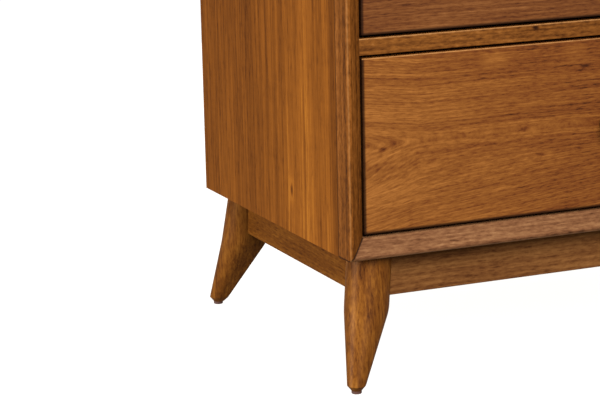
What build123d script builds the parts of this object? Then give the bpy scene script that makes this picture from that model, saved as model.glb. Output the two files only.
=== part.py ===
"""A nightstand with two inset drawers: a mitred, bevel-fronted case on a splayed-leg base.

Millimetres. +X runs to the right, +Y to the back, +Z up. The origin is at floor level, in the
middle of the whole piece's width and depth. Each separate piece is written as one STEP file.
"""

from build123d import *

import os
from math import cos, radians, sin, sqrt, tan

# ---------------------------------------------------------------- driving dimensions
# Case
CASE_WIDTH = 680.0
CASE_DEPTH = 458.0
PANEL_THICKNESS = 18.0
EDGING_WIDTH = 22.5  # solid front edging, outer face to the opening
EDGING_DEPTH = 32.0
BEVEL_SETBACK = 16.5  # inner edge of the edging behind its front
NOSE_WIDTH = 4.5  # flat front of the edging, outside its bevel
ARRIS_RADIUS = 4.0
DIVIDER_HEIGHT = 19.0
DIVIDER_DEPTH = 45.0
REAR_DIVIDER_DEPTH = 60.0
BACK_THICKNESS = 5.0
BACK_INSET = 3.0
RABBET_WIDTH = 8.0
BACK_PLAY = 0.5
EASE = 1.0  # small rounding on visible edges

# Base
LEG_HEIGHT = 156.5  # floor to the underside of the case
LEG_TOP_INSET = 17.0  # outer side of a leg from the case's side, at the case
LEG_LEAN = 7.5  # degrees, of the outer side, both ways
LEG_RADIUS = 26.2
LEG_FOOT_RADIUS = 11.0
LEG_CORNER_RADIUS = 3.0  # of the squared inner corner
LEG_CORNER_LIMIT = 0.4  # the most it may be, as a share of the leg's radius
LEG_KNEE_DROP = 67.0  # underside of the case to where the taper starts
LEG_KNEE_BLEND = 7.0  # half the height over which the knee is rounded
FOOT_CHAMFER = 5.0
FOOT_CHAMFER_HEIGHT = 6.0
GLIDE_THICKNESS = 3.5
GLIDE_NAIL_DIAMETER = 2.4
GLIDE_NAIL_LENGTH = 14.0
APRON_INSET = 32.5
APRON_THICKNESS = 18.0
APRON_HEIGHT = 53.0
BLOCK_THICKNESS = 22.0
BLOCK_RISE = 8.0  # lower face of a block above the aprons' lower edges
BLOCK_LEG_GAP = 1.0

# Drawers
DRAWER_FRONT_HEIGHT = 201.5
DRAWER_FRONT_THICKNESS = 19.0
DRAWER_GAP_SIDE = 3.0
DRAWER_GAP_BELOW = 3.5
DRAWER_GAP_ABOVE = 3.5
BOX_LIFT = 14.0  # lower edge of the drawer front to the lower edge of the box
BOX_TOP_DROP = 37.5  # upper edge of the drawer front to the upper edge of the box
BOX_REAR_GAP = 9.5  # behind the box, to the back panel
BOX_WALL = 12.0
BOTTOM_THICKNESS = 6.0
BOTTOM_LIFT = 10.0
GROOVE_DEPTH = 6.0
GROOVE_PLAY = 0.5
TAIL_COUNT = 5
TAIL_ROOT_SHARE = 0.62  # width of a tail at its root, as a share of the pitch
TAIL_SLOPE = 1 / 6

# Knob
KNOB_PROJECTION = 28.0
KNOB_HEAD_RADIUS = 14.0
KNOB_NECK_RADIUS = 6.5
KNOB_DOME_HEIGHT = 6.5
KNOB_UNDERCUT = 5.0  # height of the rounded underside of the head
KNOB_BASE_RADIUS = 9.0
KNOB_BASE_HEIGHT = 3.0
KNOB_SCREW_RADIUS = 2.0
KNOB_SCREW_IN_KNOB = 16.0
KNOB_SCREW_HEAD_RADIUS = 5.0
KNOB_SCREW_HEAD_HEIGHT = 2.5

# Telescopic ball slides, one each side of a drawer
SLIDE_THICKNESS = 12.7
SLIDE_HEIGHT = 45.0
SLIDE_FRONT_GAP = 2.0  # behind the drawer front
SLIDE_REAR_GAP = 3.0  # to the end of the box
SHEET = 1.2
WEB_GAP = 1.9  # between the webs of the outer and the middle member
FLANGE_GAP = 3.8  # between the flanges of neighbouring members
FLANGE_STOP = 1.6  # a flange ends this far short of what it faces
BALL_RADIUS = 1.65
BALL_COUNT = 7
CAGE_THICKNESS = 0.8
CAGE_WIDTH = 5.0
CAGE_LENGTH = 190.0
CAGE_HOLE_RADIUS = 1.8

# Fasteners
DOWEL_RADIUS = 4.0
DOWEL_IN_LEG = 13.0
DOWEL_IN_APRON = 22.0
DOWEL_IN_CASE = 13.0
DOWEL_IN_DIVIDER = 22.0
DOWEL_EDGE = 10.0  # from the ends of a divider rail's depth to its dowels
DOWEL_UNDER_CASE = 14.0  # an apron's upper dowel below the case
DOWEL_OVER_EDGE = 13.0  # its lower dowel above the apron's lower edge
BOLT_RADIUS = 4.0
BOLT_HOLE_RADIUS = 4.5
BOLT_IN_LEG = 30.0
BOLT_DROP = 27.0
BOLT_TAIL = 5.0
NUT_ACROSS_FLATS = 13.0
NUT_HEIGHT = 6.5
WASHER_RADIUS = 10.0
WASHER_THICKNESS = 1.6
BLOCK_SCREW_UNDER_CASE = 11.0
BLOCK_SCREW_OVER_EDGE = 8.0
BLOCK_SCREW_LENGTH = 26.0
BLOCK_SCREW_IN_APRON = 14.0
CASE_SCREW_LENGTH = 28.0
CASE_SCREW_IN_CASE = 14.0
CASE_SCREW_SPREAD = 20.0  # each side of a corner block's middle
COUNTERBORE_RADIUS = 4.5
SCREW_RADIUS = 2.0
SCREW_HEAD_RADIUS = 4.0
SMALL_SCREW_RADIUS = 1.75
SMALL_SCREW_HEAD_RADIUS = 3.5
BACK_SCREW_LENGTH = 20.0
BACK_SCREWS_ACROSS = 5
BACK_SCREWS_UP = 4
FRONT_SCREW_LENGTH = 25.0
FRONT_SCREW_INSET = 79.2  # from the inside of the box's sides
FRONT_SCREW_RISE = 37.5  # above the box's lower edge
FRONT_SCREW_DROP = 30.0  # below the box's upper edge
SLIDE_SCREW_LENGTH = 9.5
SLIDE_SCREW_HEAD = 1.3  # height of the pan head
RECESS_LENGTH_SHARE = 1.1  # of a screw head's radius
RECESS_WIDTH_SHARE = 0.28
RECESS_DEPTH_SHARE = 0.8  # of the shank's radius, in a countersunk head
PAN_RECESS_SHARE = 0.65  # of a pan head's height
PAN_CROWN_SHARE = 0.7  # flat crown of a pan head, of its radius
PAN_EDGE_SHARE = 0.35  # straight edge of a pan head, of its height
SLIDE_SCREW_END = 32.0  # from a slide's ends to its end screws

# ---------------------------------------------------------------- places worked out from them
OPENING_HEIGHT = DRAWER_GAP_BELOW + DRAWER_FRONT_HEIGHT + DRAWER_GAP_ABOVE
CASE_HEIGHT = 2 * EDGING_WIDTH + 2 * OPENING_HEIGHT + DIVIDER_HEIGHT
FOOT_DROP = LEG_HEIGHT - GLIDE_THICKNESS  # underside of the case to the end of the wood
TAPER_DROP = FOOT_DROP - FOOT_CHAMFER_HEIGHT
FOOT_REACH = tan(radians(LEG_LEAN)) * TAPER_DROP - LEG_TOP_INSET  # beyond the case's sides
KNOB_REACH = KNOB_PROJECTION - BEVEL_SETBACK  # before the case's front
GLIDE_RADIUS = LEG_FOOT_RADIUS - FOOT_CHAMFER
BLOCK_HEIGHT = APRON_HEIGHT - BLOCK_RISE
DOWEL_DROPS = (DOWEL_UNDER_CASE, APRON_HEIGHT - DOWEL_OVER_EDGE)
BLOCK_SCREW_DROPS = (BLOCK_SCREW_UNDER_CASE, BLOCK_HEIGHT - BLOCK_SCREW_OVER_EDGE)

LEFT = -CASE_WIDTH / 2
RIGHT = CASE_WIDTH / 2
FRONT = (max(KNOB_REACH, FOOT_REACH, 0) - max(FOOT_REACH, 0) - CASE_DEPTH) / 2
BACK = FRONT + CASE_DEPTH
BASE = LEG_HEIGHT  # underside of the case
TOP = BASE + CASE_HEIGHT
BACK_SEAT = BACK - BACK_INSET - BACK_THICKNESS  # front face of the back panel

DRAWER_FACE = FRONT + BEVEL_SETBACK
DRAWER_HALF_WIDTH = CASE_WIDTH / 2 - EDGING_WIDTH - DRAWER_GAP_SIDE
BOX_START = DRAWER_FACE + DRAWER_FRONT_THICKNESS
BOX_END = BACK_SEAT - BOX_REAR_GAP
BOX_HEIGHT = DRAWER_FRONT_HEIGHT - BOX_LIFT - BOX_TOP_DROP
BOX_HALF_WIDTH = CASE_WIDTH / 2 - EDGING_WIDTH - SLIDE_THICKNESS
INSIDE_HALF_WIDTH = BOX_HALF_WIDTH - BOX_WALL
DIVIDER_BASE = BASE + EDGING_WIDTH + OPENING_HEIGHT
FRONT_BASES = {
    "upper": DIVIDER_BASE + DIVIDER_HEIGHT + DRAWER_GAP_BELOW,
    "lower": BASE + EDGING_WIDTH + DRAWER_GAP_BELOW,
}
SLIDE_START = BOX_START + SLIDE_FRONT_GAP
SLIDE_END = BOX_END - SLIDE_REAR_GAP
SLIDE_FACE = LEFT + EDGING_WIDTH  # face that a left outer slide member is screwed to
SIDES = {"left": -1, "right": 1}

os.makedirs("parts", exist_ok=True)


def save(made, label):
    """Writes one finished piece, or one group of like pieces, as parts/LABEL.step."""
    made.part.label = label
    export_step(made.part, f"parts/{label}.step")


def board(x, y, z):
    """A squared board that spans three pairs of coordinates."""
    with BuildPart() as made:
        with BuildSketch(Plane.XY.offset(z[0])):
            with Locations(((x[0] + x[1]) / 2, (y[0] + y[1]) / 2)):
                Rectangle(abs(x[1] - x[0]), y[1] - y[0])
        extrude(amount=z[1] - z[0])
    return made


def rod(start, end, radius):
    """A round rod between two points."""
    axis = Vector(*end) - Vector(*start)
    with BuildPart() as made:
        with BuildSketch(Plane(origin=start, z_dir=axis)):
            Circle(radius)
        extrude(amount=axis.length)
    return made


def together(pieces, places=None):
    """One group of pieces, each at its own place or all repeated at the given places."""
    with BuildPart() as made:
        with Locations(*(places or [Location()])):
            for piece in pieces:
                add(piece.part)
    return made


def less(piece, *cutters):
    """A piece with other solids cut out of it."""
    with BuildPart() as made:
        add(piece.part)
        for cutter in cutters:
            add(cutter.part, mode=Mode.SUBTRACT)
    return made


def flipped(piece, about):
    """The mirror image of a piece."""
    with BuildPart() as made:
        add(piece.part)
        mirror(about=about, mode=Mode.REPLACE)
    return made


# ---------------------------------------------------------------- screws
def screw_blank(length, radius, head_radius):
    """A countersunk wood screw, head at the origin and point up +Z, before its recess."""
    with BuildPart() as made:
        with BuildSketch(Plane.XZ):
            with BuildLine():
                Polyline(
                    (0, 0),
                    (head_radius, 0),
                    (radius, head_radius - radius),
                    (radius, length - 2 * radius),
                    (0, length),
                    close=True,
                )
            make_face()
        revolve(axis=Axis.Z)
    return made


def pan_screw_blank(length, radius, head_radius, head_height):
    """A pan head screw that bears on the plane z = 0, with its point up +Z."""
    with BuildPart() as made:
        with BuildSketch(Plane.XZ):
            with BuildLine():
                Polyline(
                    (0, -head_height),
                    (head_radius * PAN_CROWN_SHARE, -head_height),
                    (head_radius, -head_height * PAN_EDGE_SHARE),
                    (head_radius, 0),
                    (radius, 0),
                    (radius, length - 2 * radius),
                    (0, length),
                    close=True,
                )
            make_face()
        revolve(axis=Axis.Z)
    return made


def with_recess(blank, head_radius, depth):
    """The same screw with a cross recess in its head."""
    top = blank.part.bounding_box().min.Z
    length = head_radius * RECESS_LENGTH_SHARE
    width = head_radius * RECESS_WIDTH_SHARE
    with BuildPart() as made:
        add(blank.part)
        with BuildSketch(Plane.XY.offset(top)):
            Rectangle(length, width)
            Rectangle(width, length)
        extrude(amount=depth, mode=Mode.SUBTRACT)
    return made


def aimed(point, direction):
    """The place of a screw whose head is at a point and that is driven along a direction."""
    return Plane(origin=point, z_dir=direction).location


# ---------------------------------------------------------------- case: mitred members
# Each member of the case runs round the opening: the way it faces inwards, the way it runs,
# the corner that it starts from and its length.
CORNER_UP_LEFT = (LEFT, FRONT, TOP)
CORNER_UP_RIGHT = (RIGHT, FRONT, TOP)
CORNER_LOW_LEFT = (LEFT, FRONT, BASE)
CORNER_LOW_RIGHT = (RIGHT, FRONT, BASE)
MEMBERS = {
    "left": ((1, 0, 0), (0, 0, 1), CORNER_LOW_LEFT, CASE_HEIGHT),
    "right": ((-1, 0, 0), (0, 0, -1), CORNER_UP_RIGHT, CASE_HEIGHT),
    "bottom": ((0, 0, 1), (-1, 0, 0), CORNER_LOW_RIGHT, CASE_WIDTH),
    "top": ((0, 0, -1), (1, 0, 0), CORNER_UP_LEFT, CASE_WIDTH),
}


def mitred(side, outline, rounded_corner=None):
    """A member of the case: an outline of (inwards, backwards) points, mitred at both ends."""
    inward, along, corner, length = MEMBERS[side]
    start = Vector(*corner)
    run = Vector(*along)
    inner = Vector(*inward)
    with BuildPart() as made:
        with BuildSketch(Plane(origin=start, x_dir=inner, z_dir=run)) as section:
            with BuildLine():
                Polyline(*outline, close=True)
            make_face()
            if rounded_corner:
                fillet(section.vertices().sort_by_distance(rounded_corner)[0], radius=ARRIS_RADIUS)
        extrude(amount=length)
        split(bisect_by=Plane(origin=start, z_dir=run - inner), keep=Keep.TOP)
        split(bisect_by=Plane(origin=start + run * length, z_dir=-run - inner), keep=Keep.TOP)
    return made


EDGING_OUTLINE = [
    (0, 0),
    (NOSE_WIDTH, 0),
    (EDGING_WIDTH, BEVEL_SETBACK),
    (EDGING_WIDTH, EDGING_DEPTH),
    (0, EDGING_DEPTH),
]
SEAT_DEPTH = BACK_SEAT - FRONT
PANEL_OUTLINE = [
    (0, EDGING_DEPTH),
    (PANEL_THICKNESS, EDGING_DEPTH),
    (PANEL_THICKNESS, SEAT_DEPTH),
    (PANEL_THICKNESS - RABBET_WIDTH, SEAT_DEPTH),
    (PANEL_THICKNESS - RABBET_WIDTH, CASE_DEPTH),
    (0, CASE_DEPTH),
]
edgings = {side: mitred(side, EDGING_OUTLINE, rounded_corner=(0, 0)) for side in MEMBERS}
panels = {side: mitred(side, PANEL_OUTLINE) for side in MEMBERS}

# ---------------------------------------------------------------- case: divider rails and dowels
divider_height = (DIVIDER_BASE, DIVIDER_BASE + DIVIDER_HEIGHT)
divider_middle = DIVIDER_BASE + DIVIDER_HEIGHT / 2
rail_span = (LEFT + EDGING_WIDTH, RIGHT - EDGING_WIDTH)
front_dowel_depths = (
    FRONT + (BEVEL_SETBACK + EDGING_DEPTH) / 2,
    DRAWER_FACE + DIVIDER_DEPTH - DOWEL_EDGE,
)
rear_dowel_depths = (
    BACK_SEAT - REAR_DIVIDER_DEPTH + DOWEL_EDGE,
    BACK_SEAT - DOWEL_EDGE,
)
divider_dowels = together(
    [
        rod(
            (sign * (RIGHT - EDGING_WIDTH - DOWEL_IN_DIVIDER), depth, divider_middle),
            (sign * (RIGHT - EDGING_WIDTH + DOWEL_IN_CASE), depth, divider_middle),
            DOWEL_RADIUS,
        )
        for sign in SIDES.values()
        for depth in front_dowel_depths + rear_dowel_depths
    ]
)
save(divider_dowels, "divider_dowels")

with BuildPart() as divider_rail:
    add(board(rail_span, (DRAWER_FACE, DRAWER_FACE + DIVIDER_DEPTH), divider_height).part)
    front_edges = divider_rail.faces().sort_by(Axis.Y)[0].edges().filter_by(Axis.X)
    fillet(front_edges, radius=EASE)
    add(divider_dowels.part, mode=Mode.SUBTRACT)
save(divider_rail, "divider_rail")

rear_span = (BACK_SEAT - REAR_DIVIDER_DEPTH, BACK_SEAT)
save(less(board(rail_span, rear_span, divider_height), divider_dowels), "rear_divider_rail")

# ---------------------------------------------------------------- slides: where they go
# A slide is drawn for the left side, as distances from its mounting face towards the drawer.
OUTER_HALF = SLIDE_HEIGHT / 2
MIDDLE_HALF = OUTER_HALF - SHEET - FLANGE_GAP
INNER_HALF = MIDDLE_HALF - SHEET - FLANGE_GAP
MIDDLE_WEB = SHEET + WEB_GAP
INNER_WEB = SLIDE_THICKNESS - SHEET
BALL_LINE = (MIDDLE_WEB + SHEET + SLIDE_THICKNESS - FLANGE_STOP) / 2
SLIDE_MIDDLE = (SLIDE_START + SLIDE_END) / 2
SLIDE_SCREW_DEPTHS = (SLIDE_START + SLIDE_SCREW_END, SLIDE_MIDDLE, SLIDE_END - SLIDE_SCREW_END)
slide_heights = {
    name: base + BOX_LIFT + BOX_HEIGHT / 2 for name, base in FRONT_BASES.items()
}
slide_blank = pan_screw_blank(
    SLIDE_SCREW_LENGTH, SMALL_SCREW_RADIUS, SMALL_SCREW_HEAD_RADIUS, SLIDE_SCREW_HEAD
)
slide_screw = with_recess(
    slide_blank, SMALL_SCREW_HEAD_RADIUS, SLIDE_SCREW_HEAD * PAN_RECESS_SHARE
)


def slide_screw_places(height, offset, outwards):
    """Where the screws of one drawer's outer or inner members go, on both sides."""
    places = []
    for sign in SIDES.values():
        x = sign * (-SLIDE_FACE - offset)
        aim = (sign if outwards else -sign, 0, 0)
        places += [aimed((x, depth, height), aim) for depth in SLIDE_SCREW_DEPTHS]
    return places


case_slide_places = []
for height in slide_heights.values():
    case_slide_places += slide_screw_places(height, SHEET, outwards=True)
case_slide_cuts = together([slide_blank], case_slide_places)
save(together([slide_screw], case_slide_places), "case_slide_screws")

# ---------------------------------------------------------------- base: one corner
# A corner is drawn with its own x and y running in from the case's corner and z = 0 at the
# underside of the case, and is then turned into each of the four corners.
CORNERS = {
    "front_left": Location((LEFT, FRONT, BASE), (0, 0, 0)),
    "front_right": Location((RIGHT, FRONT, BASE), (0, 0, 90)),
    "rear_right": Location((RIGHT, BACK, BASE), (0, 0, 180)),
    "rear_left": Location((LEFT, BACK, BASE), (0, 0, 270)),
}


def leg_radius(drop):
    """Radius of the leg at a drop below the case: parallel, a rounded knee, then the taper."""
    slope = (LEG_RADIUS - LEG_FOOT_RADIUS) / (TAPER_DROP - LEG_KNEE_DROP)
    past = drop - LEG_KNEE_DROP
    if past <= -LEG_KNEE_BLEND:
        return LEG_RADIUS
    if past < LEG_KNEE_BLEND:
        return LEG_RADIUS - slope * (past + LEG_KNEE_BLEND) ** 2 / (4 * LEG_KNEE_BLEND)
    return LEG_RADIUS - slope * past


def leg_outer(drop):
    """Distance of the leg's outer side from the case's side at a drop below the case."""
    return LEG_TOP_INSET - tan(radians(LEG_LEAN)) * drop


def leg_inner(drop):
    """Distance of the leg's flat inner faces from the case's side at a drop below the case."""
    return leg_outer(drop) + 2 * leg_radius(drop)


def leg_section(drop, middle, radius):
    """The leg's level section: round, with its inner corner left square and slightly eased."""
    corner = min(LEG_CORNER_RADIUS, LEG_CORNER_LIMIT * radius)
    flat = radius - corner
    round_off = corner * (1 - sqrt(0.5))
    outer = radius * sqrt(0.5)
    plane = Plane((middle, middle, -drop), x_dir=(1, 0, 0), z_dir=(0, 0, 1))
    with BuildSketch(plane) as section:
        with BuildLine():
            Line((radius, 0), (radius, flat))
            ThreePointArc(
                (radius, flat),
                (radius - round_off, radius - round_off),
                (flat, radius),
            )
            Line((flat, radius), (0, radius))
            ThreePointArc((0, radius), (-outer, -outer), (radius, 0))
        make_face()
    return section.sketch


def leg_middle(drop):
    """Distance of the leg's round part's middle from the case's side at a drop below the case."""
    return leg_outer(drop) + leg_radius(drop)


foot_middle = leg_middle(TAPER_DROP)
knee_steps = [LEG_KNEE_DROP + LEG_KNEE_BLEND * step / 2 for step in (-2, -1, 0, 1, 2)]
diagonal = sqrt(0.5)
half_inset = APRON_INSET + APRON_THICKNESS / 2
apron_back = APRON_INSET + APRON_THICKNESS

bolt_start = (leg_inner(BOLT_DROP) - LEG_CORNER_RADIUS * (1 - diagonal)) / diagonal - BOLT_IN_LEG
block_face = leg_inner(0) / diagonal + BLOCK_LEG_GAP
block_back = block_face + BLOCK_THICKNESS
bolt_end = block_back + WASHER_THICKNESS + NUT_HEIGHT + BOLT_TAIL


def on_diagonal(reach, drop, aside=0.0):
    """A point of the corner, measured along its diagonal and square to it."""
    return (diagonal * (reach + aside), diagonal * (reach - aside), -drop)


bolt_ends = (on_diagonal(bolt_start, BOLT_DROP), on_diagonal(bolt_end, BOLT_DROP))
bolt = rod(*bolt_ends, BOLT_RADIUS)
bolt_hole = rod(*bolt_ends, BOLT_HOLE_RADIUS)
dowels = together(
    [
        rod(start, end, DOWEL_RADIUS)
        for drop in DOWEL_DROPS
        for start, end in (
            (
                (leg_inner(drop) - DOWEL_IN_LEG, half_inset, -drop),
                (leg_inner(drop) + DOWEL_IN_APRON, half_inset, -drop),
            ),
            (
                (half_inset, leg_inner(drop) - DOWEL_IN_LEG, -drop),
                (half_inset, leg_inner(drop) + DOWEL_IN_APRON, -drop),
            ),
        )
    ]
)
with BuildPart() as glide:
    with BuildSketch(Plane.XY.offset(-LEG_HEIGHT)):
        with Locations((foot_middle, foot_middle)):
            Circle(GLIDE_RADIUS)
    extrude(amount=GLIDE_THICKNESS)
    fillet(glide.faces().sort_by(Axis.Z)[0].edges(), radius=EASE)
    with BuildSketch(Plane.XY.offset(-FOOT_DROP)):
        with Locations((foot_middle, foot_middle)):
            Circle(GLIDE_NAIL_DIAMETER / 2)
    extrude(amount=GLIDE_NAIL_LENGTH)

leg_drops = [0] + knee_steps + [TAPER_DROP]
sections = [leg_section(drop, leg_middle(drop), leg_radius(drop)) for drop in leg_drops]
sections.append(leg_section(FOOT_DROP, foot_middle, GLIDE_RADIUS))
with BuildPart() as leg_blank:
    loft(sections, ruled=True)
leg = less(leg_blank, dowels, bolt, glide)

with BuildPart() as washer:
    with BuildSketch(Plane(on_diagonal(block_back, BOLT_DROP), z_dir=(1, 1, 0))):
        Circle(WASHER_RADIUS)
        Circle(BOLT_RADIUS, mode=Mode.SUBTRACT)
    extrude(amount=WASHER_THICKNESS)
with BuildPart() as nut:
    nut_start = on_diagonal(block_back + WASHER_THICKNESS, BOLT_DROP)
    with BuildSketch(Plane(nut_start, z_dir=(1, 1, 0))):
        RegularPolygon(radius=NUT_ACROSS_FLATS / 2, side_count=6, major_radius=False)
        Circle(BOLT_RADIUS, mode=Mode.SUBTRACT)
    extrude(amount=NUT_HEIGHT)

block_screw_blank = screw_blank(BLOCK_SCREW_LENGTH, SCREW_RADIUS, SCREW_HEAD_RADIUS)
block_screw = with_recess(block_screw_blank, SCREW_HEAD_RADIUS, SCREW_RADIUS * RECESS_DEPTH_SHARE)
case_blank = screw_blank(CASE_SCREW_LENGTH, SCREW_RADIUS, SCREW_HEAD_RADIUS)
case_screw = with_recess(case_blank, SCREW_HEAD_RADIUS, SCREW_RADIUS * RECESS_DEPTH_SHARE)

# The block screws go square into each apron, halfway along the block's seat on it.
block_screw_run = (block_face + block_back) / 2 / diagonal - apron_back
block_screw_head = apron_back + BLOCK_SCREW_LENGTH - BLOCK_SCREW_IN_APRON
block_screw_places = []
for drop in BLOCK_SCREW_DROPS:
    block_screw_places += [
        aimed((block_screw_run, block_screw_head, -drop), (0, -1, 0)),
        aimed((block_screw_head, block_screw_run, -drop), (-1, 0, 0)),
    ]
case_screw_head = CASE_SCREW_LENGTH - CASE_SCREW_IN_CASE
case_screw_places = [
    aimed(
        on_diagonal(block_face + BLOCK_THICKNESS / 2, case_screw_head, side * CASE_SCREW_SPREAD),
        (0, 0, 1),
    )
    for side in (-1, 1)
]
block_screws = together([block_screw], block_screw_places)
block_screw_cuts = together([block_screw_blank], block_screw_places)
case_screws = together([case_screw], case_screw_places)
case_screw_cuts = together([case_blank], case_screw_places)


def counterbores(places):
    """Straight holes that clear the screw heads, from the heads outwards."""
    with BuildPart() as made:
        for place in places:
            start = place * Plane.XY.offset(-BLOCK_HEIGHT)
            with BuildSketch(start):
                Circle(COUNTERBORE_RADIUS)
            extrude(amount=BLOCK_HEIGHT)
    return made


near = block_face / diagonal - apron_back
far = block_back / diagonal - apron_back
with BuildPart() as block:
    with BuildSketch(Plane.XY.offset(-BLOCK_HEIGHT)):
        with BuildLine():
            Polyline(
                (apron_back, near),
                (apron_back, far),
                (far, apron_back),
                (near, apron_back),
                close=True,
            )
        make_face()
    extrude(amount=BLOCK_HEIGHT)
    add(bolt_hole.part, mode=Mode.SUBTRACT)
    add(block_screw_cuts.part, mode=Mode.SUBTRACT)
    add(case_screw_cuts.part, mode=Mode.SUBTRACT)
    add(counterbores(block_screw_places).part, mode=Mode.SUBTRACT)
    add(counterbores(case_screw_places).part, mode=Mode.SUBTRACT)

# ---------------------------------------------------------------- base: pieces in their places
every_corner = list(CORNERS.values())
for name, place in CORNERS.items():
    save(together([leg], [place]), f"leg_{name}")
save(together([dowels], every_corner), "apron_dowels")
save(together([bolt], every_corner), "leg_bolts")
save(together([washer, nut], every_corner), "leg_bolt_flange_nuts")
save(together([block], every_corner), "corner_blocks")
save(together([glide], every_corner), "foot_glides")
save(together([block_screws], every_corner), "corner_block_screws")
save(together([case_screws], every_corner), "base_screws")
base_cuts = together([leg_blank, dowels, block_screw_cuts], every_corner)
case_screw_holes = together([case_screw_cuts], every_corner)

apron_height = (BASE - APRON_HEIGHT, BASE)
inside_leg = leg_middle(0) + DOWEL_RADIUS  # a blank's end, buried in the leg and then scribed
long_run = (LEFT + inside_leg, RIGHT - inside_leg)
cross_run = (FRONT + inside_leg, BACK - inside_leg)
apron_blanks = {
    "front": (long_run, (FRONT + APRON_INSET, FRONT + apron_back)),
    "rear": (long_run, (BACK - apron_back, BACK - APRON_INSET)),
    "left": ((LEFT + APRON_INSET, LEFT + apron_back), cross_run),
    "right": ((RIGHT - apron_back, RIGHT - APRON_INSET), cross_run),
}
for name, (across, deep) in apron_blanks.items():
    with BuildPart() as apron:
        add(board(across, deep, apron_height).part)
        fillet(apron.faces().sort_by(Axis.Z)[0].edges(), radius=EASE)
        add(base_cuts.part, mode=Mode.SUBTRACT)
    save(apron, f"apron_{name}")

# ---------------------------------------------------------------- case: boards with their holes
linings = [
    board(
        (sign * (RIGHT - PANEL_THICKNESS), sign * (RIGHT - EDGING_WIDTH)),
        (FRONT + EDGING_DEPTH, BACK_SEAT),
        (BASE + PANEL_THICKNESS, TOP - PANEL_THICKNESS),
    )
    for sign in SIDES.values()
]
save(less(together(linings), divider_dowels, case_slide_cuts), "side_linings")

ledge = PANEL_THICKNESS - RABBET_WIDTH / 2  # the line of the back's screws from the outside
screw_span = (LEFT + ledge, RIGHT - ledge)
screw_rise = (BASE + ledge, TOP - ledge)
back_screw_points = []
for index in range(BACK_SCREWS_ACROSS):
    x = screw_span[0] + (screw_span[1] - screw_span[0]) * index / (BACK_SCREWS_ACROSS - 1)
    back_screw_points += [(x, screw_rise[0]), (x, screw_rise[1])]
for index in range(1, BACK_SCREWS_UP - 1):
    z = screw_rise[0] + (screw_rise[1] - screw_rise[0]) * index / (BACK_SCREWS_UP - 1)
    back_screw_points += [(screw_span[0], z), (screw_span[1], z)]
back_screw_places = [
    aimed((x, BACK - BACK_INSET, z), (0, -1, 0)) for x, z in back_screw_points
]
back_blank = screw_blank(BACK_SCREW_LENGTH, SMALL_SCREW_RADIUS, SMALL_SCREW_HEAD_RADIUS)
back_screw = with_recess(back_blank, SMALL_SCREW_HEAD_RADIUS, SMALL_SCREW_RADIUS * RECESS_DEPTH_SHARE)
back_cuts = together([back_blank], back_screw_places)
save(together([back_screw], back_screw_places), "back_panel_screws")

back_edge = PANEL_THICKNESS - RABBET_WIDTH + BACK_PLAY
back_panel = board(
    (LEFT + back_edge, RIGHT - back_edge),
    (BACK_SEAT, BACK - BACK_INSET),
    (BASE + back_edge, TOP - back_edge),
)
save(less(back_panel, back_cuts), "back_panel")

for side, sign in SIDES.items():
    save(less(panels[side], back_cuts, divider_dowels, case_slide_cuts), f"{side}_side_panel")
    save(less(edgings[side], divider_dowels), f"{side}_stile")
save(less(panels["bottom"], back_cuts, case_screw_holes), "bottom_panel")
save(less(panels["top"], back_cuts), "top_panel")
save(edgings["bottom"], "bottom_rail")
save(edgings["top"], "top_rail")

# ---------------------------------------------------------------- slides: one section each
SLIDE_PLANE = Plane((0, SLIDE_END, 0), x_dir=(1, 0, 0), z_dir=(0, -1, 0))


def channel(web, tip, half, height):
    """A folded steel channel of a left slide: its web's back, its flanges' tips, its half height."""
    fold = 1 if tip > web else -1
    with BuildPart() as made:
        with BuildSketch(SLIDE_PLANE) as section:
            with Locations((SLIDE_FACE + (web + tip) / 2, height)):
                Rectangle(abs(tip - web), 2 * half)
            back_corners = section.vertices().sort_by(Axis.X)
            back_corners = back_corners[:2] if fold > 0 else back_corners[-2:]
            fillet(back_corners, radius=SHEET)
            with Locations((SLIDE_FACE + (web + fold * SHEET + tip) / 2, height)):
                Rectangle(abs(tip - web) - SHEET, 2 * (half - SHEET), mode=Mode.SUBTRACT)
        extrude(amount=SLIDE_END - SLIDE_START)
    return made


def ball_rows(height, half):
    """Caged balls above and below one member of a left slide, in the gaps beside its flanges."""
    gap_middle = half + FLANGE_GAP / 2
    pitch = CAGE_LENGTH / BALL_COUNT
    with BuildPart() as made:
        for z in (height - gap_middle, height + gap_middle):
            cage = Plane((SLIDE_FACE + BALL_LINE, SLIDE_MIDDLE, z))
            with BuildSketch(cage.offset(-CAGE_THICKNESS / 2)):
                Rectangle(CAGE_WIDTH, CAGE_LENGTH)
                with GridLocations(1, pitch, 1, BALL_COUNT):
                    Circle(CAGE_HOLE_RADIUS, mode=Mode.SUBTRACT)
            extrude(amount=CAGE_THICKNESS)
            with Locations(cage.location):
                with GridLocations(1, pitch, 1, BALL_COUNT):
                    Sphere(BALL_RADIUS)
    return made


def both_sides(piece):
    """A left slide's piece together with its mirror image on the right."""
    return together([piece, flipped(piece, Plane.YZ)])


outers = [
    both_sides(channel(0, SLIDE_THICKNESS - FLANGE_STOP, OUTER_HALF, height))
    for height in slide_heights.values()
]
save(less(together(outers), case_slide_cuts), "case_slides")

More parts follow.
